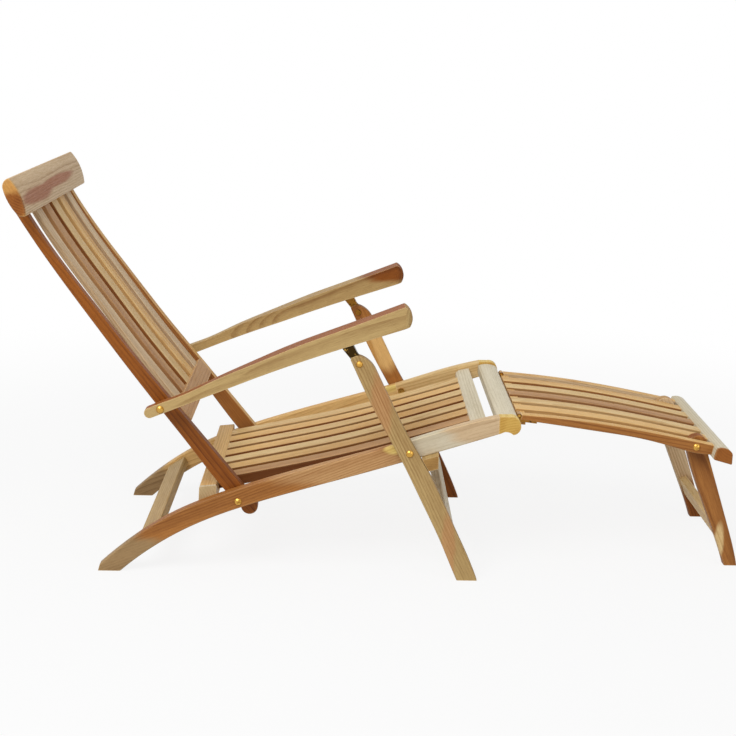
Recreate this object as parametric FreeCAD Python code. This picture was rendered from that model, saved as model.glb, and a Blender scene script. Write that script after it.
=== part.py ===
"""Folding wooden steamer deck chair with a footrest, built in millimetres.

The chair stands on Z = 0, faces +X and is symmetric about the XZ plane. Side views are drawn
with x counted from the tip of the rear feet, and the whole chair is centred on X at the end.
The sitter's left is +Y. Left pieces are drawn and right pieces are their mirror images.
"""
import math
import os

import FreeCAD
import Part
from FreeCAD import Vector

# Half widths, counted from the middle plane of the chair.
RAIL_IN = 230.0
RAIL_OUT = 252.0
STILE_IN = 205.7
STILE_OUT = 229.7
LEG_IN = 253.0
LEG_OUT = 275.0
ARM_IN = 228.0
ARM_OUT = 275.0
HEADREST_HALF = 303.0
FOOT_RAIL_IN = 168.5
FOOT_RAIL_OUT = 190.5
FOOT_LEG_IN = 144.0
FOOT_LEG_OUT = 166.0
END_BOARD_HALF = 213.5
STOP_BAR_HALF = 273.0
NOSE_SEAM_X = 836.0

# Pivots in the side view.
BACK_PIVOT = (298.0, 158.0)
ARM_PIVOT = (142.0, 361.0)
LEG_PIVOT = (652.0, 276.0)
BRACKET_BOLT = (545.0, 463.0)
FOOTREST_HINGE = (884.5, 337.0)
FOOT_LEG_PIVOT = (1264.0, 275.5)

# Bolts, hinges and their running clearances.
SHANK_R = 4.0
RUNNING_GAP = 0.05
FACE_GAP = 0.3
HEAD_R = 8.0
HEAD_H = 4.5
WASHER_R = 10.0
NUT_T = 4.0
BRACKET_SHANK_R = 3.0
BRACKET_HEAD_R = 7.0
BRACKET_TONGUE_T = 4.0
HINGE_PIN_R = 2.5
HINGE_EYE_R = 5.0
HINGE_Y = (169.0, 190.0)
HINGE_LEAF_Y = (171.0, 188.0)
HINGE_KNUCKLE_Y = (176.0, 183.0)

# Slats and boards.
SEAT_SLATS = 7
SEAT_SLAT_PITCH = 54.5
SEAT_SLAT_W = 37.0
SEAT_SLAT_T = 12.0
EDGE_SLAT_T = 24.0
BACK_SLATS = 5
BACK_SLAT_PITCH = 74.0
BACK_SLAT_W = 46.0
BACK_SLAT_T = 11.0
BACK_SLAT_INSET = 2.0
FOOT_SLATS = 5
FOOT_SLAT_PITCH = 60.0
FOOT_SLAT_W = 37.0
FOOT_SLAT_T = 10.0
ARRIS = 2.5
SLAT_ARRIS = 1.8

# Lower end of the end board's rear face and how far it leans forward per millimetre of height.
END_FACE = (1296.0, 255.0)
END_LEAN = 4.0 / 21.0

# How far cutting shapes run past the piece they cut.
OVER = 1.0
MARGIN = 20.0

# Front and rear lines of the back's stiles, from the low end to the top.
BACK_FRONT = [(336, 148), (259, 244), (163, 362), (96, 446), (17, 553), (-60, 660), (-111, 741), (-135, 786)]
BACK_REAR = [(303, 137), (257, 189), (197, 269), (122, 367), (-3, 537), (-100, 676), (-167, 785)]
BACK_SLOPE = [128.7, 128.9, 129.0, 127.5, 125.9, 124.0, 120.5, 118.0]

# How far the stiles lie behind the slats' line at the same points.
STILE_SET_BACK = [0, 0, 0, 1, 3, 5, 6.5, 7.5]

# Underside of the armrests, from the pivot end to the nose.
ARM_UNDER = [(124, 343), (172, 363), (264, 401), (345, 434), (485, 486), (585, 520), (645, 540)]

# Notched track under each armrest. Distances are counted from the armrest pivot.
TRACK_T = 4.2
TRACK_Y = (256.0, 272.0)
TRACK_X = (422.0, 543.0)
NOTCH_FIRST = 403.0
NOTCH_PITCH = 22.0
NOTCHES = 5
NOTCH_R = 3.2
RIDGE_R = 2.2
TRACK_SLOPE = 19.1


def at(x, z):
    return Vector(x, 0, z)


def outline(start, *steps):
    """Face in the side view. A step of one point is straight, of two an arc, of more a curve."""
    edges = []
    here = start
    for step in steps:
        points = [at(*here)] + [at(*p) for p in step]
        if len(step) == 1:
            edges.append(Part.LineSegment(points[0], points[1]).toShape())
        elif len(step) == 2:
            edges.append(Part.Arc(points[0], points[1], points[2]).toShape())
        else:
            curve = Part.BSplineCurve()
            curve.interpolate(points)
            edges.append(curve.toShape())
        here = step[-1]
    if at(*here).distanceToPoint(at(*start)) > 0.001:
        edges.append(Part.LineSegment(at(*here), at(*start)).toShape())
    return Part.Face(Part.Wire(edges))


def slab(face, y_low, y_high):
    """Extrudes a side-view face across the chair."""
    moved = face.copy()
    moved.translate(Vector(0, y_low, 0))
    return moved.extrude(Vector(0, y_high - y_low, 0))


def turned(start, along, across, degrees):
    """Point of the side view at a distance along and across a slope."""
    a = math.radians(degrees)
    x = start[0] + along * math.cos(a) - across * math.sin(a)
    z = start[1] + along * math.sin(a) + across * math.cos(a)
    return (x, z)


def bar(start, degrees, length, thick, y_low, y_high):
    """Straight cross piece: start is one lower corner, degrees its slope in the side view."""
    far = turned(start, length, 0, degrees)
    far_top = turned(start, length, thick, degrees)
    near_top = turned(start, 0, thick, degrees)
    return slab(outline(start, [far], [far_top], [near_top]), y_low, y_high)


def rod(pivot, radius, y_low, y_high):
    return Part.makeCylinder(radius, y_high - y_low, Vector(pivot[0], y_low, pivot[1]), Vector(0, 1, 0))


def bored(shape, pivot, radius, y_low, y_high):
    """Cuts a round hole across the chair, a little past both faces of the piece."""
    return shape.cut(rod(pivot, radius, y_low - OVER, y_high + OVER))


def lathe(pivot, steps, y_crown_base, radius, height):
    """Turned piece on an axis across the chair: steps of radius and y, then a domed head."""
    points = [Vector(0, steps[0][1], 0)] + [Vector(r, y, 0) for r, y in steps]
    points.append(Vector(radius, y_crown_base, 0))
    edges = [Part.LineSegment(a, b).toShape() for a, b in zip(points, points[1:])]
    ball = (radius ** 2 + height ** 2) / (2 * height)
    half_way = radius / 2
    shoulder = Vector(half_way, y_crown_base + height - ball + math.sqrt(ball ** 2 - half_way ** 2), 0)
    crown = Vector(0, y_crown_base + height, 0)
    edges.append(Part.Arc(points[-1], shoulder, crown).toShape())
    edges.append(Part.LineSegment(crown, points[0]).toShape())
    turned_piece = Part.Face(Part.Wire(edges)).revolve(Vector(0, 0, 0), Vector(0, 1, 0), 360)
    solid = Part.Solid(turned_piece.Shells[0])
    if solid.Volume < 0:
        solid.reverse()
    solid.translate(Vector(pivot[0], 0, pivot[1]))
    return solid


def level(edge):
    """True for an edge of the side view's outline that is long enough to be rounded."""
    return edge.BoundBox.YLength < 0.01 and edge.Length > 5 * ARRIS


def lengthwise(edge):
    """True for the two long edges of each side of a slat."""
    return edge.BoundBox.YLength < 0.01 and edge.Length > 100


def crosswise(edge):
    """True for a straight edge that runs across the chair."""
    return edge.BoundBox.XLength < 0.01 and edge.BoundBox.ZLength < 0.01


def eased(shape, radius, chosen):
    """Rounds the edges that the test picks."""
    return shape.makeFillet(radius, [edge for edge in shape.Edges if chosen(edge)])


def mirrored(shape):
    return shape.mirror(Vector(0, 0, 0), Vector(0, 1, 0))


def spread(count, pitch):
    """Middle lines of equal slats, from the right side of the chair to the left."""
    first = -pitch * (count - 1) / 2
    return [first + pitch * i for i in range(count)]


def biggest(shape):
    """Largest solid of a cut shape."""
    return max(shape.Solids, key=lambda solid: solid.Volume)


# Seat.

def rail():
    """Whole side rail of the left side, from the rear foot to the rounded nose."""
    face = outline(
        (3, 0),
        [(7, 14)],
        [(60, 60), (156, 125), (282, 180), (478, 243), (658, 298), (760, 332), (836, 352)],
        [(857, 352)],
        [(875, 347), (881, 334)],
        [(878, 320), (866, 313)],
        [(858, 318), (848, 319)],
        [(836, 314)],
        [(736, 281), (530, 216), (323, 152), (198, 101), (113, 50), (50, 0)],
    )
    shape = slab(face, RAIL_IN, RAIL_OUT)
    for pivot in (BACK_PIVOT, LEG_PIVOT):
        shape = bored(shape, pivot, SHANK_R, RAIL_IN, RAIL_OUT)
    return shape


def rail_pieces(whole):
    """The rail is glued up from a rear piece, a front piece and a nose block."""
    scarf = outline((-MARGIN, -MARGIN), [(741, -MARGIN)], [(595, 420)], [(-MARGIN, 420)])
    behind_joint = slab(scarf, RAIL_IN - OVER, RAIL_OUT + OVER)
    seam = outline((-MARGIN, -MARGIN), [(NOSE_SEAM_X, -MARGIN)], [(NOSE_SEAM_X, 420)], [(-MARGIN, 420)])
    before_seam = slab(seam, RAIL_IN - OVER, RAIL_OUT + OVER)
    pieces = {}
    pieces["rail_rear_left"] = eased(biggest(whole.common(behind_joint)), ARRIS, lengthwise)
    front = biggest(whole.common(before_seam).cut(behind_joint))
    pieces["rail_front_left"] = eased(front, ARRIS, lengthwise)
    pieces["nose_block_left"] = biggest(whole.cut(before_seam))
    return pieces


def seat_boards():
    """Cross pieces between the rails."""
    pieces = {}
    pieces["rear_stretcher"] = eased(bar((100, 62), 33, 46, 18, -RAIL_IN, RAIL_IN), ARRIS, crosswise)
    rear = outline((213, 140), [(251, 149)], [(251, 186)], [(215, 182)])
    pieces["seat_rear_board"] = eased(slab(rear, -RAIL_IN, RAIL_IN), ARRIS, crosswise)
    front = outline((781, 309), [(813, 317)], [(813, 337)], [(789, 332)], [(781, 326)])
    pieces["seat_front_board"] = slab(front, -RAIL_IN, RAIL_IN)
    nose = outline((834, 323), [(867, 326)], [(879, 335), (871, 345)], [(852, 348), (834, 344)])
    pieces["nose_bar"] = slab(nose, -RAIL_IN, RAIL_IN)
    return pieces


def seat_slats():
    """Lengthwise slats with a slight hollow, between the rear and front boards. The outer two are deeper."""
    pieces = {}
    top = [(251, 186), (386, 215.5), (520, 247), (651, 284.5), (781, 325)]
    for number, middle in enumerate(spread(SEAT_SLATS, SEAT_SLAT_PITCH), 1):
        thick = EDGE_SLAT_T if number in (1, SEAT_SLATS) else SEAT_SLAT_T
        low = [(x, z - thick) for x, z in reversed(top)]
        face = outline(top[0], top[1:], [low[0]], low[1:])
        slat = slab(face, middle - SEAT_SLAT_W / 2, middle + SEAT_SLAT_W / 2)
        pieces[f"seat_slat_{number}"] = eased(slat, SLAT_ARRIS, lengthwise)
    return pieces


def stop_bar(whole):
    """Bar under the rails that the front legs open against."""
    section = outline((692, 238.5), [(712, 244)], [(712, 272.8)], [(678, 262.3)])
    return slab(section, -STOP_BAR_HALF, STOP_BAR_HALF).cut(whole).cut(mirrored(whole))


def pivot_bolt(pivot, nut_y, out_y, washer=None):
    """Shank with a nut on the inner side, a domed head outside and a washer where one is needed."""
    steps = [(HEAD_R, nut_y), (HEAD_R, nut_y + NUT_T), (SHANK_R, nut_y + NUT_T)]
    if washer:
        low, high, radius = washer
        steps += [(SHANK_R, low), (radius, low), (radius, high), (SHANK_R, high)]
    steps.append((SHANK_R, out_y))
    return lathe(pivot, steps, out_y, HEAD_R, HEAD_H)


def hinge_leaf(nose_bar):
    """Leaf under the nose bar, turned up in front of it, with the middle knuckle and the pin it holds."""
    plate = outline((846, 321.5), [(868, 322.5)], [(880, 327)], [(886, 337)], [(876, 337)], [(846, 326)])
    leaf = slab(plate, *HINGE_LEAF_Y)
    corner = outline((879, 310), [(900, 310)], [(900, 345)], [(879, 345)])
    leaf = leaf.cut(slab(corner, HINGE_LEAF_Y[0] - OVER, HINGE_KNUCKLE_Y[0]))
    leaf = leaf.cut(slab(corner, HINGE_KNUCKLE_Y[1], HINGE_LEAF_Y[1] + OVER))
    leaf = leaf.fuse(rod(FOOTREST_HINGE, HINGE_EYE_R, *HINGE_KNUCKLE_Y))
    leaf = leaf.fuse(rod(FOOTREST_HINGE, HINGE_PIN_R, *HINGE_Y))
    return biggest(leaf.cut(nose_bar).removeSplitter())


# Back.

def headrest():
    """Wide curved board that the stiles and slats run into."""
    face = outline(
        (-109, 752),
        [(-113, 778), (-139.5, 826)],
        [(-147.5, 821), (-152, 806)],
        [(-142, 779), (-121, 751)],
    )
    return slab(face, -HEADREST_HALF, HEADREST_HALF)


def back_cross_rail():
    """Cross rail that the back slats stand on."""
    return bar((198, 320), 129.0, 44, 20, -STILE_IN, STILE_IN)


def stile(head):
    """Left side of the back. Its top is let into the rear of the headrest."""
    front = [turned(p, 0, gap, d) for p, gap, d in zip(BACK_FRONT, STILE_SET_BACK, BACK_SLOPE)]
    front.reverse()
    face = outline(
        BACK_REAR[0],
        BACK_REAR[1:],
        [(-156, 793), front[0]],
        front[1:],
        [(320.5, 123), BACK_REAR[0]],
    )
    shape = eased(slab(face, STILE_IN, STILE_OUT), ARRIS, level)
    shape = biggest(shape.cut(head))
    shape = bored(shape, BACK_PIVOT, SHANK_R + RUNNING_GAP, STILE_IN, STILE_OUT)
    return bored(shape, ARM_PIVOT, SHANK_R, STILE_IN, STILE_OUT)


def back_slats(head, cross_rail):
    pieces = {}
    slopes = BACK_SLOPE[1:]
    line = BACK_FRONT[1:]
    front = [turned(p, 0, BACK_SLAT_INSET, d) for p, d in zip(line, slopes)]
    rear = [turned(p, 0, BACK_SLAT_INSET + BACK_SLAT_T, d) for p, d in zip(line, slopes)]
    rear.reverse()
    face = outline(front[0], front[1:], [rear[0]], rear[1:])
    for number, middle in enumerate(spread(BACK_SLATS, BACK_SLAT_PITCH), 1):
        slat = slab(face, middle - BACK_SLAT_W / 2, middle + BACK_SLAT_W / 2)
        slat = eased(slat, SLAT_ARRIS, lengthwise)
        pieces[f"back_slat_{number}"] = biggest(slat.cut(head).cut(cross_rail))
    return pieces


def arm_stud():
    """Turned stud in the stile with a shoulder that spaces the armrest outwards."""
    shoulder = (STILE_OUT, LEG_IN - FACE_GAP, HEAD_R)
    return pivot_bolt(ARM_PIVOT, STILE_IN - NUT_T, ARM_OUT + FACE_GAP, shoulder)


# Armrests.

def under_arm(x):
    """Height of the armrest's underside between the drawn points."""
    for (x0, z0), (x1, z1) in zip(ARM_UNDER, ARM_UNDER[1:]):
        if x0 <= x <= x1:
            return z0 + (z1 - z0) * (x - x0) / (x1 - x0)
    return ARM_UNDER[-1][1]


def arm_side():
    return outline(
        ARM_UNDER[0],
        ARM_UNDER[1:],
        [(650, 561), (634, 582)],
        [(584, 562), (505, 531), (425, 500), (345, 465), (248, 422), (183, 390), (142, 374), (116, 363)],
        [(110, 349), ARM_UNDER[0]],
    )


def arm_plan():
    """Armrest seen from above: a narrow pivot end that widens inwards and a rounded nose."""
    corners = [Vector(90, LEG_IN, 0), Vector(205, LEG_IN, 0)]
    swell = [Vector(265, 248, 0), Vector(335, 235, 0), Vector(395, ARM_IN, 0)]
    along = Vector(1, 0, 0)
    curve = Part.BSplineCurve()
    curve.interpolate(Points=[corners[1]] + swell, InitialTangent=along, FinalTangent=along)
    inner_front = Vector(628, ARM_IN, 0)
    nose = Vector(653, (ARM_IN + ARM_OUT) / 2, 0)
    outer_front = Vector(628, ARM_OUT + 1, 0)
    outer_rear = Vector(90, ARM_OUT + 1, 0)
    edges = [
        Part.LineSegment(corners[0], corners[1]).toShape(),
        curve.toShape(),
        Part.LineSegment(swell[-1], inner_front).toShape(),
        Part.Arc(inner_front, nose, outer_front).toShape(),
        Part.LineSegment(outer_front, outer_rear).toShape(),
        Part.LineSegment(outer_rear, corners[0]).toShape(),
    ]
    face = Part.Face(Part.Wire(edges))
    face.translate(Vector(0, 0, 300))
    return face.extrude(Vector(0, 0, 320))


def armrest(track):
    """Armrest with a groove in its underside that holds the track."""
    shape = biggest(slab(arm_side(), ARM_IN, ARM_OUT).common(arm_plan()).cut(track))
    return bored(shape, ARM_PIVOT, SHANK_R + RUNNING_GAP, LEG_IN, ARM_OUT)


def track_blank():
    """Strip let in flush with the underside of the armrest."""
    above = slab(arm_side(), ARM_IN - OVER, ARM_OUT + OVER)
    above.translate(Vector(0, 0, TRACK_T))
    strip = slab(arm_side(), *TRACK_Y).cut(above)
    rear, front = TRACK_X
    length = outline((rear, 300), [(front, 300)], [(front, 700)], [(rear, 700)])
    return biggest(strip.common(slab(length, ARM_IN, ARM_OUT)))


def arm_track(strip):
    """Brass strip with round notches for the leg bracket."""
    for i in range(NOTCHES):
        strip = strip.cut(rod(notch(i), NOTCH_R, ARM_IN, ARM_OUT))
    return strip


def notch(i):
    """Middle of a notch on the track's lower face."""
    x = ARM_PIVOT[0] + (NOTCH_FIRST - NOTCH_PITCH * i) * math.cos(math.radians(TRACK_SLOPE))
    return (x, under_arm(x))


# Front legs.

def leg_blank():
    face = outline(
        (758, 0),
        [(744, 32), (721, 86), (676, 179), (639, 254), (588, 346), (546, 430), (527, 471)],
        [(528, 476)],
        [(540, 481)],
        [(561, 472), (579, 451)],
        [(609, 389), (650, 308), (695, 231), (752, 111), (776, 60), (801, 0)],
    )
    return eased(slab(face, LEG_IN, LEG_OUT), ARRIS, lengthwise)


def bracket_tongue():
    """Flat tongue of the leg bracket, let into a slot in the leg's top."""
    middle = (LEG_IN + LEG_OUT) / 2
    face = outline((520, 486), [(538, 489)], [(556, 466)], [(546, 450)], [(533, 459)])
    return slab(face, middle - BRACKET_TONGUE_T / 2, middle + BRACKET_TONGUE_T / 2)


def leg_and_bracket():
    leg = leg_blank()
    block = slab(outline((525, 476), [(510.5, 493.4)], [(532.5, 500.9)], [(543, 480)]), LEG_IN + 2, LEG_OUT - 2)
    bracket = biggest(block.cut(leg)).fuse(bracket_tongue())
    bracket = bracket.fuse(rod(notch(0), RIDGE_R, TRACK_Y[0] + 1, TRACK_Y[1] - 1))
    steps = [(BRACKET_HEAD_R, LEG_IN - 2), (BRACKET_HEAD_R, LEG_IN)]
    steps += [(BRACKET_SHANK_R, LEG_IN), (BRACKET_SHANK_R, LEG_OUT)]
    rivet = lathe(BRACKET_BOLT, steps, LEG_OUT, BRACKET_HEAD_R, HEAD_H)
    bracket = bracket.fuse(rivet).removeSplitter()
    leg = bored(leg.cut(bracket_tongue()), BRACKET_BOLT, BRACKET_SHANK_R, LEG_IN, LEG_OUT)
    leg = bored(leg, LEG_PIVOT, SHANK_R + RUNNING_GAP, LEG_IN, LEG_OUT)
    return biggest(leg), bracket


def leg_stretcher():
    return eased(bar((753, 100), 115, 40, 20, -LEG_IN, LEG_IN), ARRIS, crosswise)


# Footrest.

def end_face(z):
    """Point at a height on the end board's rear face, where the rails and slats end."""
    return (END_FACE[0] + (z - END_FACE[1]) * END_LEAN, z)


def foot_rail():
    face = outline(
        (888, 328.3),
        [(888, 340.2)],
        [(970, 333.5), (1067, 322), (1199, 300), end_face(280.2)],
        [end_face(259.2)],
        [(1262, 262), (1225, 271.5), (1141, 292.5), (1067, 304), (970, 317.5), (888, 328.3)],
    )
    shape = eased(slab(face, FOOT_RAIL_IN, FOOT_RAIL_OUT), ARRIS, lengthwise)
    shape = bored(shape, FOOTREST_HINGE, HINGE_EYE_R + FACE_GAP, *HINGE_Y)
    return bored(shape, FOOT_LEG_PIVOT, SHANK_R, FOOT_RAIL_IN, FOOT_RAIL_OUT)


def end_board():
    face = outline(END_FACE, [end_face(280.2)], [(1324, 279.2), (1336, 268)], [(1336, 244)])
    return slab(face, -END_BOARD_HALF, END_BOARD_HALF)


def foot_rear_bar(slats):
    """Bar between the footrest's rails with the rear ends of the slats let into its top."""
    face = outline((884, 313), [(884, 335)], [(901, 334)], [(901, 312)])
    shape = slab(face, -FOOT_RAIL_IN, FOOT_RAIL_IN)
    for slat in slats:
        shape = shape.cut(slat)
    return shape


def foot_slats():
    """Slats between the rails, from the rear bar to the end board."""
    pieces = {}
    top = [(882, 339.7), (970, 332.5), (1067, 321), (1199, 298.5), end_face(278.2)]
    low = [(x, z - FOOT_SLAT_T) for x, z in reversed(top[:-1])]
    face = outline(top[0], top[1:], [end_face(278.2 - FOOT_SLAT_T)], low)
    for number, middle in enumerate(spread(FOOT_SLATS, FOOT_SLAT_PITCH), 1):
        slat = slab(face, middle - FOOT_SLAT_W / 2, middle + FOOT_SLAT_W / 2)
        pieces[f"footrest_slat_{number}"] = eased(slat, SLAT_ARRIS, lengthwise)
    return pieces


def hinge_strap(rail_shape):
    """Strap round the rear end of a footrest rail, with two eyes on the hinge pin."""
    plate = outline((882, 337), [(882, 328)], [(886, 325)], [(922, 321)], [(922, 326)], [(891, 330)], [(889, 337)])
    shape = slab(plate, *HINGE_Y)
    for low, high in (HINGE_Y[0], HINGE_KNUCKLE_Y[0] - FACE_GAP), (HINGE_KNUCKLE_Y[1] + FACE_GAP, HINGE_Y[1]):
        shape = shape.fuse(rod(FOOTREST_HINGE, HINGE_EYE_R, low, high))
    gap = outline((870, 310), [(891.5, 310)], [(891.5, 345)], [(870, 345)])
    shape = shape.cut(slab(gap, HINGE_KNUCKLE_Y[0] - FACE_GAP, HINGE_KNUCKLE_Y[1] + FACE_GAP))
    shape = bored(shape.cut(rail_shape), FOOTREST_HINGE, HINGE_PIN_R + RUNNING_GAP, *HINGE_Y)
    return biggest(shape)


def foot_leg():
    face = outline(
        (1351, 0),
        [(1333, 50), (1313, 98), (1294, 144), (1255, 245), (1249, 267)],
        [(1268, 294), (1293, 263)],
        [(1335, 141), (1349, 100), (1365, 52), (1379, 0)],
    )
    shape = eased(slab(face, FOOT_LEG_IN, FOOT_LEG_OUT), ARRIS, lengthwise)
    return bored(shape, FOOT_LEG_PIVOT, SHANK_R + RUNNING_GAP, FOOT_LEG_IN, FOOT_LEG_OUT)


def foot_leg_stretcher():
    return eased(bar((1351, 62), 112, 45, 18, -FOOT_LEG_IN, FOOT_LEG_IN), ARRIS, crosswise)


def foot_leg_bolt():
    inner = FOOT_LEG_IN - FACE_GAP
    washer = (FOOT_LEG_OUT + FACE_GAP, FOOT_RAIL_IN, WASHER_R)
    return pivot_bolt(FOOT_LEG_PIVOT, inner - NUT_T, FOOT_RAIL_OUT, washer)


def build():
    """All pieces by name."""
    parts = {}
    whole = rail()
    parts.update(rail_pieces(whole))
    parts.update(seat_boards())
    parts.update(seat_slats())
    parts["leg_stop_bar"] = stop_bar(whole)
    inner = STILE_IN - FACE_GAP
    parts["back_bolt_left"] = pivot_bolt(BACK_PIVOT, inner - NUT_T, RAIL_OUT)
    washer = (RAIL_OUT, LEG_IN - FACE_GAP, WASHER_R)
    parts["leg_bolt_left"] = pivot_bolt(LEG_PIVOT, RAIL_IN - NUT_T, LEG_OUT + FACE_GAP, washer)
    parts["footrest_hinge_left"] = hinge_leaf(parts["nose_bar"])

    head = headrest()
    cross_rail = back_cross_rail()
    parts["headrest_board"] = head
    parts["back_cross_rail"] = cross_rail
    parts["back_stile_left"] = stile(head)
    parts.update(back_slats(head, cross_rail))
    parts["arm_stud_left"] = arm_stud()

    strip = track_blank()
    parts["armrest_left"] = armrest(strip)
    parts["arm_track_left"] = arm_track(strip)

    parts["front_leg_left"], parts["leg_bracket_left"] = leg_and_bracket()
    parts["leg_stretcher"] = leg_stretcher()

    board = end_board()
    rail_shape = foot_rail()
    parts["footrest_rail_left"] = rail_shape
    parts["footrest_end_board"] = board
    slats = foot_slats()
    parts.update(slats)
    parts["footrest_rear_bar"] = foot_rear_bar(slats.values())
    parts["footrest_strap_left"] = hinge_strap(rail_shape)
    parts["footrest_leg_bolt_left"] = foot_leg_bolt()
    parts["footrest_leg_left"] = foot_leg()
    parts["footrest_leg_stretcher"] = foot_leg_stretcher()

    for name in [name for name in parts if name.endswith("_left")]:
        parts[name[:-len("left")] + "right"] = mirrored(parts[name])
    return parts


def centre(parts):
    """Middle of the whole chair along X, read from its surface points."""
    low = min(p.x for shape in parts.values() for p in shape.tessellate(0.05)[0])
    high = max(p.x for shape in parts.values() for p in shape.tessellate(0.05)[0])
    return (low + high) / 2


pieces = build()
middle_x = centre(pieces)
os.makedirs("parts", exist_ok=True)
for node, shape in pieces.items():
    shape.translate(Vector(-middle_x, 0, 0))
    shape.exportStep(f"parts/{node}.step")
print(len(pieces), "pieces, centred on x =", round(middle_x, 4))
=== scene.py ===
"""Looks of a folding wooden steamer deck chair with a footrest.

The chair's frame gives every piece its place. Each board gets sawn teak whose grain runs along it,
the boards with rounded arrises are built from the frame's boards, and the fittings are brass.
"""

import math

import bmesh
import bpy
from bpy.props import FloatProperty, FloatVectorProperty, IntProperty, PointerProperty
from mathutils import Matrix, Vector


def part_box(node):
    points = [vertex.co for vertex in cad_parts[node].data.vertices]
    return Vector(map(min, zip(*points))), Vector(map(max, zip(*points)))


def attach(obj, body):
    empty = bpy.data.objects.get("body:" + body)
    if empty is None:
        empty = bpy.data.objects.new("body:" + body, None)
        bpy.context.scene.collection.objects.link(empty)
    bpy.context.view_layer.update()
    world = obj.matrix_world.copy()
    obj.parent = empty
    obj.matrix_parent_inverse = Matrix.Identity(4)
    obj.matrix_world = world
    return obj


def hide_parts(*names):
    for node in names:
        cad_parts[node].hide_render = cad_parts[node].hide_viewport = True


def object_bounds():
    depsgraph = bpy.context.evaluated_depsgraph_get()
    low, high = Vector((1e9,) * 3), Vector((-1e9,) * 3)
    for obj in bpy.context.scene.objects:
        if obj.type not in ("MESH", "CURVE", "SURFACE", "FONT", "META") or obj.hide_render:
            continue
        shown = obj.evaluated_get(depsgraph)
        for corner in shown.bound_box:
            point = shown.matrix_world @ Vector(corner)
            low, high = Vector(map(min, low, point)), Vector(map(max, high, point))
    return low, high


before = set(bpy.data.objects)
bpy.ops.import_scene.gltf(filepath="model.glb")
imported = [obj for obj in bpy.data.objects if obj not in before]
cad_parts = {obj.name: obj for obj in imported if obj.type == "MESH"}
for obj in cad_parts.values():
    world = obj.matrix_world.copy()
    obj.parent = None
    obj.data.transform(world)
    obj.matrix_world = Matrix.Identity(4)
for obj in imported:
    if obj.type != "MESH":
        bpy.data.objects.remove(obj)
CAD_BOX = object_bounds()

bl_info = {
    "name": "Steamer deck chair",
    "version": (1, 0, 0),
    "blender": (4, 5, 0),
    "location": "View3D > Sidebar > Deck chair",
    "description": "Finishes the pieces of a folding wooden deck chair and sets up its studio",
    "category": "Add Mesh",
}

# Grain that runs across the chair, in place of a slope.
ACROSS = "across"
# Distance in millimetres from the rear feet to the frame's origin.
CHAIR_MIDDLE = 606
# Angle between faces from which their edge counts as an arris.
SHARP = math.radians(32)
# Angle below which neighbouring faces of a board are joined, and the distance that welds corners.
FLAT = math.radians(0.6)
WELD = 1e-5

# Scales of the teak's patterns per metre, along the grain and across it.
RING_SWAY = (1.7, 13.0)
RING_FADING = (2.3, 42.0)
FIGURE = (1.1, 24.0)
FIBRES = (26.0, 900.0)
PORES = (75.0, 2100.0)
RAGGED_EDGE = (7.0, 60.0)
# How far the growth rings sway, in metres.
SWAY_WIDTH = 0.018
# How much the figure, the fibres and the pores darken the wood.
FIGURE_DEPTH = 0.45
FIBRE_DEPTH = 0.22
PORE_DEPTH = 0.4
# Colours that the pores and the end grain multiply the wood by.
PORE_TINT = (0.52, 0.42, 0.30)
END_TINT = (0.80, 0.66, 0.48)
# Turn about the pith from one seed's board to the next one's.
GOLDEN_ANGLE = 2.39996

# Scales of the brass's tarnish and of its brushing.
TARNISH = (130.0, 130.0)
BRUSHING = (500.0, 900.0)
# Distance from the chair's middle plane beyond which a leg bracket is its rivets' heads.
RIVET_HEADS = 0.2752

# Places and widths of the lamps.
KEY_PLACE, KEY_WIDTH = (-1.6, -2.4, 3.4), 2.6
FILL_PLACE, FILL_WIDTH = (3.0, -2.6, 1.6), 2.0
# How far the camera sees.
CAMERA_REACH = 100.0
# Distances from the frame's origin between which the floor turns plain white.
GLOW_START, GLOW_END = 0.9, 2.6

# Sockets of a Mix node that mixes colours.
MIX_FIRST = 6
MIX_SECOND = 7
MIX_RESULT = 2


def linear(red, green, blue):
    """Scene colour of an 8-bit screen colour."""
    levels = [level / 255 for level in (red, green, blue)]
    return tuple(v / 12.92 if v < 0.04 else ((v + 0.055) / 1.055) ** 2.4 for v in levels)


def colour(name, text, levels):
    """A colour that a user may change."""
    return FloatVectorProperty(
        name=name, description=text, subtype="COLOR", size=3, min=0.0, max=1.0,
        default=linear(*levels)
    )


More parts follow.
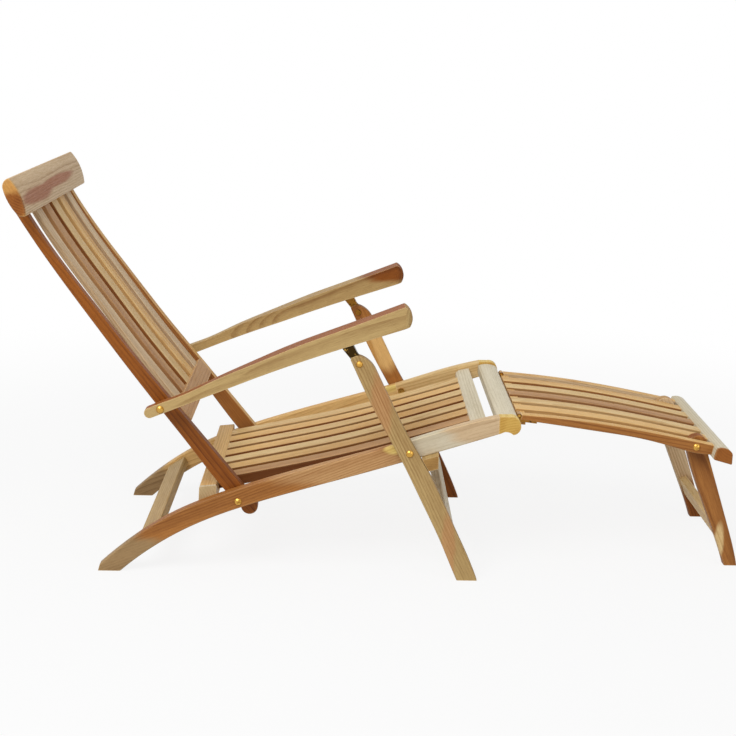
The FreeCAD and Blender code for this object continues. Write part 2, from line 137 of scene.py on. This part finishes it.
class TeakSettings(bpy.types.PropertyGroup):
    """Colours and figure of the teak."""

    cream: colour("Cream", "Sapwood, the palest boards", (222, 192, 138))
    cream_deep: colour("Cream grain", "Darker bands of the palest boards", (186, 146, 88))
    tan: colour("Tan", "Common tone of the slats", (224, 184, 120))
    tan_deep: colour("Tan grain", "Darker bands of the slats", (182, 132, 70))
    pink: colour("Pink tan", "Boards with a rosy cast", (190, 147, 98))
    pink_deep: colour("Pink tan grain", "Darker bands of the rosy boards", (150, 101, 56))
    greige: colour("Greige", "Greyish pale boards", (216, 190, 152))
    greige_deep: colour("Greige grain", "Darker bands of the greyish boards", (172, 138, 98))
    white: colour("Bleached", "Nearly white boards", (216, 206, 181))
    white_deep: colour("Bleached grain", "Darker bands of the nearly white boards", (184, 169, 136))
    olive: colour("Olive", "Greenish beige boards", (186, 157, 104))
    olive_deep: colour("Olive grain", "Darker bands of the greenish boards", (138, 103, 60))
    honey: colour("Honey", "Yellow boards", (229, 203, 123))
    honey_deep: colour("Honey grain", "Darker bands of the yellow boards", (194, 152, 72))
    brown: colour("Brown", "Heartwood boards", (168, 111, 54))
    brown_deep: colour("Brown grain", "Darker bands of the heartwood boards", (120, 69, 27))
    russet: colour("Russet", "Saturated heartwood boards", (145, 82, 24))
    russet_deep: colour("Russet grain", "Darker bands of the saturated heartwood", (98, 48, 10))
    umber: colour("Umber", "Weathered ends of the rails", (158, 128, 88))
    umber_deep: colour("Umber grain", "Darker bands of the weathered ends", (112, 84, 51))
    # Partly worn wood, partly a painted highlight: the pale colour laid along every arris.
    sanded_arris_and_highlight: colour("Sanded arris", "Light wood where an arris is worn", (236, 206, 154))
    # Painted shade: brown tint that darkens the side faces, as the gaps between the slats shade
    # them.
    flank: colour("Flank", "Tint of the unsanded flanks of the slats", (146, 102, 58))
    mauve: colour("Heart streak", "Streak of heartwood in a pale board", (176, 115, 76))
    mauve_deep: colour("Heart streak grain", "Darker bands of that streak", (142, 86, 48))
    ring_width: FloatProperty(
        name="Ring width", description="Width of one growth ring", default=0.0052,
        unit="LENGTH", min=0.001, max=0.02
    )
    pith_distance: FloatProperty(
        name="Pith distance", description="Distance from a board to the middle of its tree",
        default=0.075, unit="LENGTH", min=0.01, max=0.5
    )
    ring_strength: FloatProperty(
        name="Ring strength", description="How strongly the growth rings show", default=0.6,
        min=0.0, max=1.0
    )
    arris: FloatProperty(
        name="Arris", description="Radius of a board's sanded arris", default=0.003,
        unit="LENGTH", min=0.0, max=0.01
    )
    arris_steps: IntProperty(
        name="Arris steps", description="Facets round a sanded arris", default=4, min=1, max=8
    )


class BrassSettings(bpy.types.PropertyGroup):
    """Colours and polish of the fittings."""

    bright: colour("Bright brass", "Polished brass of the bolts", (204, 158, 76))
    dull: colour("Dull brass", "Brass that has darkened", (150, 104, 40))
    patina: colour("Patina", "Dark layer on the brackets", (58, 42, 20))
    polish: FloatProperty(
        name="Polish", description="Roughness of bright brass", default=0.26, min=0.0, max=1.0
    )


class StudioSettings(bpy.types.PropertyGroup):
    """Camera, lamps and floor."""

    camera_place: FloatVectorProperty(
        name="Camera place", description="Where the camera stands", subtype="TRANSLATION",
        unit="LENGTH", default=(-0.088, -2.9573, 1.1156)
    )
    yaw: FloatProperty(
        name="Yaw", description="Turn of the camera from the +Y direction",
        default=math.radians(-0.947), subtype="ANGLE"
    )
    pitch: FloatProperty(
        name="Pitch", description="How far the camera looks down",
        default=math.radians(13.814), subtype="ANGLE"
    )
    roll: FloatProperty(
        name="Roll", description="Turn of the camera about its own axis",
        default=math.radians(1.287), subtype="ANGLE"
    )
    lens: FloatProperty(
        name="Lens", description="Focal length in millimetres", default=66.94, min=10.0, max=300.0
    )
    floor_half: FloatProperty(
        name="Floor", description="Half the width of the floor", default=14.0, unit="LENGTH",
        min=1.0
    )
    floor_level: FloatProperty(
        name="Floor tone", description="How pale the floor is", default=0.7, min=0.0, max=1.0
    )
    floor_glow: FloatProperty(
        name="Floor glow", description="Share of plain white the camera sees near the chair",
        default=0.86, min=0.0, max=1.0
    )
    ambient: FloatProperty(
        name="Ambient", description="Strength of the light all round", default=0.5, min=0.0
    )
    key_power: FloatProperty(
        name="Key light", description="Power of the large lamp", default=120.0, unit="POWER"
    )
    fill_power: FloatProperty(
        name="Fill light", description="Power of the side lamp", default=18.0, unit="POWER"
    )


def add(tree, kind, inputs=None, **settings):
    """Adds a node. An input is a value or the output socket that feeds it."""
    node = tree.nodes.new(kind)
    for name, value in settings.items():
        setattr(node, name, value)
    for socket, value in (inputs or {}).items():
        if isinstance(value, bpy.types.NodeSocket):
            tree.links.new(value, node.inputs[socket])
        else:
            node.inputs[socket].default_value = value
    return node


def arithmetic(tree, operation, first, second=0.0):
    """Sum, product or other operation on two values."""
    return add(tree, "ShaderNodeMath", {0: first, 1: second}, operation=operation).outputs[0]


def length(tree, vector):
    """Length of a vector."""
    return add(tree, "ShaderNodeVectorMath", {0: vector}, operation="LENGTH").outputs["Value"]


def cloud(tree, place, scale, detail=2.0, roughness=0.5):
    """Cloudy noise with one scale along X, the grain, and another across it."""
    along, across = scale
    stretched = add(tree, "ShaderNodeVectorMath", {0: place, 1: (along, across, across)},
                    operation="MULTIPLY").outputs[0]
    inputs = {"Vector": stretched, "Scale": 1.0, "Detail": detail, "Roughness": roughness}
    return add(tree, "ShaderNodeTexNoise", inputs).outputs["Fac"]


def between(tree, value, low, high, to_low=0.0, to_high=1.0):
    """Smooth step of a value between two levels."""
    inputs = {"Value": value, "From Min": low, "From Max": high,
              "To Min": to_low, "To Max": to_high}
    return add(tree, "ShaderNodeMapRange", inputs, interpolation_type="SMOOTHSTEP").outputs[0]


def mixed(tree, factor, first, second, blend="MIX"):
    """Mix of two colours, each a socket or the colour itself."""
    node = add(tree, "ShaderNodeMix", {0: factor}, data_type="RGBA", blend_type=blend)
    for socket, value in ((MIX_FIRST, first), (MIX_SECOND, second)):
        if isinstance(value, bpy.types.NodeSocket):
            tree.links.new(value, node.inputs[socket])
        else:
            node.inputs[socket].default_value = (*value, 1.0)[:4]
    return node.outputs[MIX_RESULT]


def sawn_teak(settings):
    """Node group that saws a board out of a tree: rings, figure, fibres, pores and end grain."""
    group = bpy.data.node_groups.new("Sawn teak", "ShaderNodeTree")
    for name, kind in (("Place", "NodeSocketVector"), ("Face", "NodeSocketVector"),
                       ("Pale", "NodeSocketColor"), ("Deep", "NodeSocketColor")):
        group.interface.new_socket(name, in_out="INPUT", socket_type=kind)
    for name, kind in (("Colour", "NodeSocketColor"), ("Roughness", "NodeSocketFloat"),
                       ("Height", "NodeSocketFloat")):
        group.interface.new_socket(name, in_out="OUTPUT", socket_type=kind)
    source = group.nodes.new("NodeGroupInput")
    result = group.nodes.new("NodeGroupOutput")
    place = source.outputs["Place"]

    # A ring darkens slowly over its width and ends sharply. Its strength varies over the board.
    sway = arithmetic(group, "MULTIPLY", cloud(group, place, RING_SWAY), SWAY_WIDTH)
    from_pith = add(group, "ShaderNodeVectorMath", {0: place, 1: (0.0, 1.0, 1.0)},
                    operation="MULTIPLY").outputs[0]
    radius = arithmetic(group, "ADD", length(group, from_pith), sway)
    ring = arithmetic(group, "FRACT", arithmetic(group, "DIVIDE", radius, settings.ring_width))
    late = between(group, ring, 0.15, 0.92)
    early = between(group, ring, 0.92, 1.0, 1.0, 0.0)
    band = arithmetic(group, "MULTIPLY", arithmetic(group, "MULTIPLY", late, late), early)
    strength = between(group, cloud(group, place, RING_FADING), 0.3, 0.68, 0.25, 1.0)
    band = arithmetic(group, "MULTIPLY", band, strength)

    figure = between(group, cloud(group, place, FIGURE, 3.0), 0.36, 0.66)
    fibre = cloud(group, place, FIBRES, 4.0, 0.62)
    pore = between(group, cloud(group, place, PORES, 1.0), 0.60, 0.68)

    depth = arithmetic(group, "MULTIPLY", band, settings.ring_strength)
    depth = arithmetic(group, "ADD", depth, arithmetic(group, "MULTIPLY", figure, FIGURE_DEPTH))
    depth = arithmetic(group, "ADD", depth,
                       between(group, fibre, 0.32, 0.72, -FIBRE_DEPTH, FIBRE_DEPTH))
    tone = mixed(group, depth, source.outputs["Pale"], source.outputs["Deep"])
    tone = mixed(group, arithmetic(group, "MULTIPLY", pore, PORE_DEPTH), tone, PORE_TINT,
                 "MULTIPLY")
    end = add(group, "ShaderNodeSeparateXYZ", {0: source.outputs["Face"]}).outputs["X"]
    end = between(group, arithmetic(group, "ABSOLUTE", end), 0.55, 0.95)
    tone = mixed(group, end, tone, END_TINT, "MULTIPLY")
    group.links.new(tone, result.inputs["Colour"])

    rough = between(group, fibre, 0.3, 0.7, 0.44, 0.62)
    group.links.new(arithmetic(group, "ADD", rough, arithmetic(group, "MULTIPLY", end, 0.12)),
                    result.inputs["Roughness"])
    height = arithmetic(group, "MULTIPLY", band, 0.5)
    height = arithmetic(group, "ADD", height, arithmetic(group, "MULTIPLY", fibre, 0.6))
    height = arithmetic(group, "SUBTRACT", height, arithmetic(group, "MULTIPLY", pore, 0.5))
    group.links.new(height, result.inputs["Height"])
    return group


def grain_turn(slope):
    """Turn that lays a board's length along +X: a slope in the side view, or across the chair."""
    if slope == ACROSS:
        return (0.0, 0.0, -math.pi / 2)
    return (0.0, math.radians(slope), 0.0)


def matrix_of(turn):
    """Matrix of a turn about Y and then about Z."""
    return Matrix.Rotation(turn[2], 3, "Z") @ Matrix.Rotation(turn[1], 3, "Y")


def tones(name):
    """Pale and dark colour of a kind of board."""
    settings = bpy.context.scene.deck_chair_teak
    return (*getattr(settings, name), 1.0), (*getattr(settings, name + "_deep"), 1.0)


def repainted(tree, mask, colours, name):
    """Pale and dark colour of a board, changed to another kind's where the mask is one."""
    return [mixed(tree, mask, old, new) for old, new in zip(colours, tones(name))]


def patch_mask(tree, place, ragged, centre, half):
    """Ellipsoid with a ragged edge: one inside it and nought outside."""
    spot = add(tree, "ShaderNodeMapping", {"Vector": place, "Location": centre, "Scale": half},
               vector_type="TEXTURE").outputs[0]
    reach = arithmetic(tree, "ADD", length(tree, spot), arithmetic(tree, "MULTIPLY", ragged, 0.7))
    return between(tree, reach, 1.0, 1.5, 1.0, 0.0)


def in_the_tree(node, turn, seed):
    """Shift that puts a board, once turned, at its own place beside the pith of a tree.

    The seed says how far along the tree, on which side of the pith, and at which distance from it:
    0.7 to 1.3 times the usual one.
    """
    settings = bpy.context.scene.deck_chair_teak
    low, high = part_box(node)
    angle = seed * GOLDEN_ANGLE
    pith = Vector((seed * 0.731, math.cos(angle), math.sin(angle)))
    pith.yz *= settings.pith_distance * (0.7 + 0.6 * ((seed * 0.618) % 1))
    return pith - matrix_of(turn) @ ((low + high) / 2)


def teak(node, tone, slope, seed, patches=(), top=None, flank=0.0):
    """Teak of one board: its tone, the slope of its grain and any patches of another tone.

    A patch has a middle, half widths and a tone. The upper face may have a tone of its own, and
    the last argument says how much painted shade darkens the side faces, as the gaps between slats
    would shade them.
    """
    settings = bpy.context.scene.deck_chair_teak
    group = bpy.data.node_groups.get("Sawn teak") or sawn_teak(settings)
    material = bpy.data.materials.new(f"teak_{node}")
    material.use_nodes = True
    tree = material.node_tree
    surface = tree.nodes["Principled BSDF"]
    coordinates = tree.nodes.new("ShaderNodeTexCoord").outputs

    turn = grain_turn(slope)
    inputs = {"Vector": coordinates["Object"], "Location": in_the_tree(node, turn, seed),
              "Rotation": turn}
    place = add(tree, "ShaderNodeMapping", inputs).outputs[0]
    inputs = {"Vector": coordinates["Normal"], "Rotation": turn}
    face = add(tree, "ShaderNodeMapping", inputs, vector_type="NORMAL").outputs[0]
    facing = add(tree, "ShaderNodeSeparateXYZ", {0: face}).outputs
    ragged = cloud(tree, place, RAGGED_EDGE, 3.0)

    colours = tones(tone)
    for centre, half, patch_tone in patches:
        mask = patch_mask(tree, coordinates["Object"], ragged, centre, half)
        colours = repainted(tree, mask, colours, patch_tone)
    if top:
        upper = arithmetic(tree, "ADD", facing["Z"], arithmetic(tree, "MULTIPLY", ragged, 0.3))
        colours = repainted(tree, between(tree, upper, 0.70, 0.95), colours, top)

    pale, deep = colours
    sawn = {"Place": place, "Face": face, "Pale": pale, "Deep": deep}
    board = add(tree, "ShaderNodeGroup", sawn, node_tree=group)
    wood = board.outputs["Colour"]
    # Painted shade: faces turned along Y, the slats' sides, are darkened by the tint, as the gaps
    # between the slats shade them.
    if flank:
        side = arithmetic(tree, "ABSOLUTE", facing["Y"])
        side = between(tree, side, 0.70, 0.98, 0.0, flank)
        wood = mixed(tree, side, wood, settings.flank, "MULTIPLY")
    # The wood is paler where the surface bends away within an arris of the point: partly worn wood,
    # partly a painted highlight along the rounded arrises.
    rounded = add(tree, "ShaderNodeBevel", {"Radius": settings.arris}, samples=4).outputs[0]
    flat = add(tree, "ShaderNodeNewGeometry").outputs["Normal"]
    level = add(tree, "ShaderNodeVectorMath", {0: rounded, 1: flat}, operation="DOT_PRODUCT")
    wear_and_highlight = between(tree, level.outputs["Value"], 0.90, 0.99, 0.5, 0.0)
    tree.links.new(mixed(tree, wear_and_highlight, wood, settings.sanded_arris_and_highlight), surface.inputs["Base Color"])
    tree.links.new(board.outputs["Roughness"], surface.inputs["Roughness"])
    bump = add(tree, "ShaderNodeBump",
               {"Height": board.outputs["Height"], "Strength": 0.4, "Distance": 0.00025})
    tree.links.new(bump.outputs[0], surface.inputs["Normal"])
    surface.inputs["Specular IOR Level"].default_value = 0.2
    return material


def brass(name, ground, spots, roughness, cover, crown=None):
    """Brass of one tone with spots of another: cover says how much of it is spotted.

    Further than the crown from the chair's middle plane, as on the rivets' heads, all of it has the
    tone of the spots.
    """
    material = bpy.data.materials.new(name)
    material.use_nodes = True
    tree = material.node_tree
    surface = tree.nodes["Principled BSDF"]
    place = tree.nodes.new("ShaderNodeTexCoord").outputs["Object"]
    patch = cloud(tree, place, TARNISH, 4.0, 0.6)
    mask = between(tree, patch, 0.60 - 0.25 * cover, 0.72 - 0.25 * cover)
    if crown:
        side = add(tree, "ShaderNodeSeparateXYZ", {0: place}).outputs["Y"]
        outer = arithmetic(tree, "GREATER_THAN", arithmetic(tree, "ABSOLUTE", side), crown)
        mask = arithmetic(tree, "MAXIMUM", mask, outer)
    tree.links.new(mixed(tree, mask, ground, spots), surface.inputs["Base Color"])
    brushed = cloud(tree, place, BRUSHING)
    rough = between(tree, brushed, 0.3, 0.7, roughness * 0.8, roughness * 1.3)
    rough = arithmetic(tree, "ADD", rough, arithmetic(tree, "MULTIPLY", mask, 0.2))
    tree.links.new(rough, surface.inputs["Roughness"])
    bump = add(tree, "ShaderNodeBump", {"Height": patch, "Strength": 0.2, "Distance": 0.0002})
    tree.links.new(bump.outputs[0], surface.inputs["Normal"])
    surface.inputs["Metallic"].default_value = 1.0
    return material


def dress(node, material):
    """Gives a piece of the frame its material."""
    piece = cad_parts[node]
    piece.data.materials.clear()
    piece.data.materials.append(material)
    return piece


def sharp_edges(mesh, skip):
    """Edges where two faces of a board meet sharply, except round the bores to skip.

    A bore is its X, its Z and the distance it reaches.
    """
    chosen = []
    for edge in mesh.edges:
        if len(edge.link_faces) != 2 or edge.calc_face_angle(0.0) < SHARP:
            continue
        middle = (edge.verts[0].co + edge.verts[1].co) / 2
        if all(math.hypot(middle.x - x, middle.z - z) > reach for x, z, reach in skip):
            chosen.append(edge)
    return chosen


def plain_board(node, *wood, **details):
    """Board of the frame in teak: the tone, slope, seed and details go to teak()."""
    dress(node, teak(node, *wood, **details))


def rounded_board(node, body, material, radius, skip=()):
    """Board built on the frame's own: welded, without its triangles, its arrises rounded."""
    settings = bpy.context.scene.deck_chair_teak
    mesh = bmesh.new()
    mesh.from_mesh(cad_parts[node].data)
    bmesh.ops.remove_doubles(mesh, verts=mesh.verts, dist=WELD)
    bmesh.ops.dissolve_limit(mesh, angle_limit=FLAT, verts=mesh.verts, edges=mesh.edges)
    bmesh.ops.bevel(
        mesh, geom=sharp_edges(mesh, skip), offset=radius, offset_type="OFFSET", affect="EDGES",
        segments=settings.arris_steps, profile=0.5, material=-1, clamp_overlap=True
    )
    data = bpy.data.meshes.new(f"{node}_board")
    mesh.to_mesh(data)
    mesh.free()
    data.shade_smooth()
    data.set_sharp_from_angle(angle=SHARP)
    data.materials.append(material)
    piece = bpy.data.objects.new(f"{node}_board", data)
    bpy.context.scene.collection.objects.link(piece)
    weights = piece.modifiers.new("Flat faces", "WEIGHTED_NORMAL")
    weights.keep_sharp = True
    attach(piece, body)
    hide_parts(node)
    return piece


def chair_x(x):
    """Frame X in metres of a side-view distance in millimetres from the rear feet."""
    return (x - CHAIR_MIDDLE) / 1000


class FinishSeat(bpy.types.Operator):
    """Finishes the side rails and the cross boards of the seat"""

    bl_idname = "deck_chair.finish_seat"
    bl_label = "Finish seat frame"

    def execute(self, context):
        foot = ((chair_x(60), -0.24, 0.03), (0.16, 0.1, 0.05), "umber")
        front = ((chair_x(530), -0.24, 0.235), (0.22, 0.1, 0.05), "pink")
        corner = ((chair_x(619), -0.252, 0.284), (0.024, 0.014, 0.018), "honey")
        pale_end = ((chair_x(790), -0.24, 0.33), (0.08, 0.1, 0.04), "greige")
        plain_board("rail_rear_right", "brown", 22, 3, [foot, front, corner])
        far_foot = ((chair_x(60), 0.24, 0.03), (0.16, 0.1, 0.05), "umber")
        far_corner = ((chair_x(622), 0.228, 0.288), (0.026, 0.014, 0.018), "honey")
        plain_board("rail_rear_left", "tan", 22, 8, [far_foot, far_corner])
        # Its side faces get a little of the painted shade given to the slats' sides.
        plain_board("rail_front_right", "white", 18, 5, [pale_end], flank=0.15)
        plain_board("rail_front_left", "cream", 18, 14)
        plain_board("rear_stretcher", "olive", ACROSS, 6)
        board_end = ((-0.374, -0.230, 0.163), (0.06, 0.008, 0.06), "white")
        plain_board("seat_rear_board", "tan", ACROSS, 9, [board_end])
        arris = context.scene.deck_chair_teak.arris
        for side, seed in (("right", 11), ("left", 17)):
            node = f"nose_block_{side}"
            rounded_board(node, "seat", teak(node, "honey", ACROSS, seed), arris * 0.7)
        bars = (("seat_front_board", "white", 21), ("nose_bar", "white", 12),
                ("leg_stop_bar", "olive", 19))
        for node, tone, seed in bars:
            rounded_board(node, "seat", teak(node, tone, ACROSS, seed), arris)
        return {"FINISHED"}


class FinishSeatSlats(bpy.types.Operator):
    """Finishes the lengthwise slats of the seat, from the right side to the left"""

    bl_idname = "deck_chair.finish_seat_slats"
    bl_label = "Finish seat slats"

    def execute(self, context):
        # Each slat's tone and how much painted shade darkens its side faces.
        slats = (("pink", 0.9), ("tan", 0.9), ("cream", 0.8), ("tan", 1.0), ("cream", 0.8),
                 ("tan", 1.0), ("cream", 0.6))
        for number, (tone, flank) in enumerate(slats, 1):
            node = f"seat_slat_{number}"
            plain_board(node, tone, 14.7, 20 + number, flank=flank)
        return {"FINISHED"}


class FinishBack(bpy.types.Operator):
    """Finishes the headrest, stiles, slats and cross rail of the back"""

    bl_idname = "deck_chair.finish_back"
    bl_label = "Finish back"

    def execute(self, context):
        broad = ((-0.722, -0.16, 0.781), (0.04, 0.15, 0.017), "mauve")
        narrow = ((-0.724, 0.03, 0.788), (0.04, 0.19, 0.011), "mauve")
        end = ((-0.735, -0.303, 0.775), (0.06, 0.012, 0.06), "tan")
        heart = ((-0.738, -0.303, 0.774), (0.05, 0.010, 0.026), "brown")
        material = teak("headrest_board", "greige", ACROSS, 31, [broad, narrow, end, heart])
        rounded_board("headrest_board", "back", material, context.scene.deck_chair_teak.arris * 1.3)
        plain_board("back_stile_right", "russet", -52, 33)
        plain_board("back_stile_left", "brown", -52, 36, top="tan")
        plain_board("back_cross_rail", "pink", ACROSS, 38)
        # Each slat's tone and how much painted shade darkens its side faces.
        slats = (("greige", 0.15), ("pink", 0.45), ("cream", 1.0), ("tan", 0.5), ("greige", 0.5))
        for number, (tone, flank) in enumerate(slats, 1):
            node = f"back_slat_{number}"
            plain_board(node, tone, -55, 40 + number, flank=flank)
        return {"FINISHED"}


class FinishArmrests(bpy.types.Operator):
    """Finishes the two armrests"""

    bl_idname = "deck_chair.finish_armrests"
    bl_label = "Finish armrests"

    def execute(self, context):
        pivot = (chair_x(142), 0.361, 0.009)
        radius = context.scene.deck_chair_teak.arris * 1.3
        nose = ((chair_x(625), 0.25, 0.570), (0.15, 0.06, 0.03), "russet")
        near = teak("armrest_right", "olive", 21, 51, top="russet")
        far = teak("armrest_left", "olive", 21, 55, [nose])
        rounded_board("armrest_right", "armrest_right", near, radius, [pivot])
        rounded_board("armrest_left", "armrest_left", far, radius, [pivot])
        return {"FINISHED"}


class FinishFrontLegs(bpy.types.Operator):
    """Finishes the front legs and their stretcher"""

    bl_idname = "deck_chair.finish_front_legs"
    bl_label = "Finish front legs"

    def execute(self, context):
        knee = ((chair_x(600), 0.264, 0.38), (0.06, 0.06, 0.07), "tan")
        foot = ((chair_x(740), 0.264, 0.05), (0.08, 0.06, 0.10), "russet")
        thigh = ((chair_x(590), -0.264, 0.36), (0.025, 0.06, 0.10), "pink")
        shin = ((chair_x(738), -0.264, 0.06), (0.016, 0.06, 0.10), "pink")
        plain_board("front_leg_right", "olive", -64, 61, [thigh, shin])
        plain_board("front_leg_left", "brown", -64, 64, [knee, foot])
        plain_board("leg_stretcher", "white", ACROSS, 67)
        return {"FINISHED"}


class FinishFootrest(bpy.types.Operator):
    """Finishes the footrest and its legs"""

    bl_idname = "deck_chair.finish_footrest"
    bl_label = "Finish footrest"

    def execute(self, context):
        arris = context.scene.deck_chair_teak.arris
        foot = ((chair_x(1362), 0.155, 0.03), (0.05, 0.05, 0.08), "russet")
        plain_board("footrest_rail_right", "brown", -9, 71, top="tan")
        plain_board("footrest_rail_left", "greige", -9, 74, top="tan")
        strip = ((chair_x(1335), -0.155, 0.05), (0.012, 0.05, 0.05), "cream")
        plain_board("footrest_leg_right", "brown", -67, 72, [strip])
        plain_board("footrest_leg_left", "greige", -67, 75, [foot], top="brown")
        # Each slat's tone and how much painted shade darkens its side faces.
        slats = (("tan", 0.55), ("cream", 0.5), ("pink", 0.6), ("cream", 0.8), ("tan", 0.9))
        for number, (tone, flank) in enumerate(slats, 1):
            node = f"footrest_slat_{number}"
            plain_board(node, tone, -9, 76 + number, flank=flank)
        plain_board("footrest_leg_stretcher", "cream", ACROSS, 84)
        near_end = ((0.71, -0.217, 0.262), (0.06, 0.008, 0.06), "brown")
        end_board = teak("footrest_end_board", "white", ACROSS, 86, [near_end])
        rear_bar = teak("footrest_rear_bar", "tan", ACROSS, 88)
        rounded_board("footrest_end_board", "footrest", end_board, arris)
        rounded_board("footrest_rear_bar", "footrest", rear_bar, arris * 0.6)
        return {"FINISHED"}


class FinishFittings(bpy.types.Operator):
    """Finishes the bolts, studs, tracks, brackets and hinges"""

    bl_idname = "deck_chair.finish_fittings"
    bl_label = "Finish fittings"

    def execute(self, context):
        look = context.scene.deck_chair_brass
        bright = brass("bright_brass", look.bright, look.dull, look.polish, 0.2)
        aged = brass("aged_brass", look.dull, look.patina, look.polish * 1.4, 0.2)
        riveted = brass("riveted_brass", look.patina, look.bright, look.polish * 1.2, 0.1,
                        crown=RIVET_HEADS)
        polished = ("back_bolt", "leg_bolt", "arm_stud", "footrest_leg_bolt", "footrest_hinge")
        for side in ("left", "right"):
            for name in polished:
                dress(f"{name}_{side}", bright)
            for name in ("arm_track", "footrest_strap"):
                dress(f"{name}_{side}", aged)
        dress("leg_bracket_right", riveted)
        dress("leg_bracket_left", aged)
        return {"FINISHED"}


class BuildStudio(bpy.types.Operator):
    """Adds the camera, the lamps, the floor and the white surroundings"""

    bl_idname = "deck_chair.build_studio"
    bl_label = "Build studio"

    def execute(self, context):
        studio = context.scene.deck_chair_studio
        add_camera(context, studio)
        add_floor(context, studio)
        add_lamp(context, "Key light", KEY_PLACE, KEY_WIDTH, studio.key_power)
        add_lamp(context, "Fill light", FILL_PLACE, FILL_WIDTH, studio.fill_power)
        light_surroundings(context, studio)
        context.scene.view_settings.view_transform = "Standard"
        return {"FINISHED"}


def add_camera(context, studio):
    """Camera at the viewing angle of the picture."""
    camera = bpy.data.objects.new("Camera", bpy.data.cameras.new("Camera"))
    context.scene.collection.objects.link(camera)
    yaw = Matrix.Rotation(studio.yaw, 4, "Z")
    pitch = Matrix.Rotation(math.pi / 2 - studio.pitch, 4, "X")
    roll = Matrix.Rotation(studio.roll, 4, "Z")
    camera.matrix_world = Matrix.Translation(studio.camera_place) @ (yaw @ pitch) @ roll
    camera.data.lens = studio.lens
    camera.data.clip_end = CAMERA_REACH
    context.scene.camera = camera


def add_lamp(context, name, place, size, power):
    """Large soft lamp aimed at the middle of the chair."""
    data = bpy.data.lights.new(name, "AREA")
    data.shape = "DISK"
    data.size = size
    data.energy = power
    lamp = bpy.data.objects.new(name, data)
    context.scene.collection.objects.link(lamp)
    middle = (CAD_BOX[0] + CAD_BOX[1]) / 2
    lamp.location = place
    lamp.rotation_euler = (middle - Vector(place)).to_track_quat("-Z", "Y").to_euler()


def seen_directly(tree):
    """One for rays from the camera, mirrors and glass, else nought."""
    path = tree.nodes.new("ShaderNodeLightPath").outputs
    seen = arithmetic(tree, "MAXIMUM", path["Is Camera Ray"], path["Is Glossy Ray"])
    return arithmetic(tree, "MAXIMUM", seen, path["Is Transmission Ray"])


def mixed_value(tree, factor, first, second):
    """Mix of two plain numbers."""
    difference = arithmetic(tree, "MULTIPLY", factor, second - first)
    return arithmetic(tree, "ADD", difference, first)


def light_surroundings(context, studio):
    """Even light all round, seen as plain white."""
    world = bpy.data.worlds.new("Studio")
    context.scene.world = world
    world.use_nodes = True
    tree = world.node_tree
    background = tree.nodes["Background"]
    background.inputs["Color"].default_value = (1.0, 1.0, 1.0, 1.0)
    strength = mixed_value(tree, seen_directly(tree), studio.ambient, 1.0)
    tree.links.new(strength, background.inputs["Strength"])


def add_floor(context, studio):
    """Pale floor that the camera sees as nearly white, with the chair's shadow."""
    mesh = bmesh.new()
    bmesh.ops.create_grid(mesh, x_segments=1, y_segments=1, size=studio.floor_half)
    data = bpy.data.meshes.new("floor")
    mesh.to_mesh(data)
    mesh.free()
    floor = bpy.data.objects.new("floor", data)
    context.scene.collection.objects.link(floor)
    material = bpy.data.materials.new("pale_floor")
    material.use_nodes = True
    tree = material.node_tree
    surface = tree.nodes["Principled BSDF"]
    surface.inputs["Base Color"].default_value = (studio.floor_level,) * 3 + (1.0,)
    surface.inputs["Roughness"].default_value = 1.0
    surface.inputs["Specular IOR Level"].default_value = 0.0
    glow = add(tree, "ShaderNodeEmission", {"Color": (1.0, 1.0, 1.0, 1.0), "Strength": 1.0})
    place = tree.nodes.new("ShaderNodeTexCoord").outputs["Object"]
    plain = between(tree, length(tree, place), GLOW_START, GLOW_END, studio.floor_glow, 1.0)
    share = arithmetic(tree, "MULTIPLY", seen_directly(tree), plain)
    both = add(tree, "ShaderNodeMixShader", {0: share, 1: surface.outputs[0], 2: glow.outputs[0]})
    tree.links.new(both.outputs[0], tree.nodes["Material Output"].inputs["Surface"])
    data.materials.append(material)


class DeckChairPanel(bpy.types.Panel):
    """Lists the steps that finish the deck chair"""

    bl_idname = "VIEW3D_PT_deck_chair"
    bl_label = "Deck chair"
    bl_space_type = "VIEW_3D"
    bl_region_type = "UI"
    bl_category = "Deck chair"

    def draw(self, context):
        for step in STEPS:
            self.layout.operator(step.bl_idname)


STEPS = (
    FinishSeat,
    FinishSeatSlats,
    FinishBack,
    FinishArmrests,
    FinishFrontLegs,
    FinishFootrest,
    FinishFittings,
    BuildStudio,
)
SETTINGS = {
    "deck_chair_teak": TeakSettings,
    "deck_chair_brass": BrassSettings,
    "deck_chair_studio": StudioSettings,
}


def register():
    for kind in (*SETTINGS.values(), *STEPS, DeckChairPanel):
        bpy.utils.register_class(kind)
    for name, kind in SETTINGS.items():
        setattr(bpy.types.Scene, name, PointerProperty(type=kind))


def unregister():
    for name in SETTINGS:
        delattr(bpy.types.Scene, name)
    for kind in (DeckChairPanel, *reversed(STEPS), *SETTINGS.values()):
        bpy.utils.unregister_class(kind)


def main():
    """Builds the whole scene."""
    register()
    for step in STEPS:
        group, name = step.bl_idname.split(".")
        getattr(getattr(bpy.ops, group), name)()


if __name__ == "__main__":
    main()
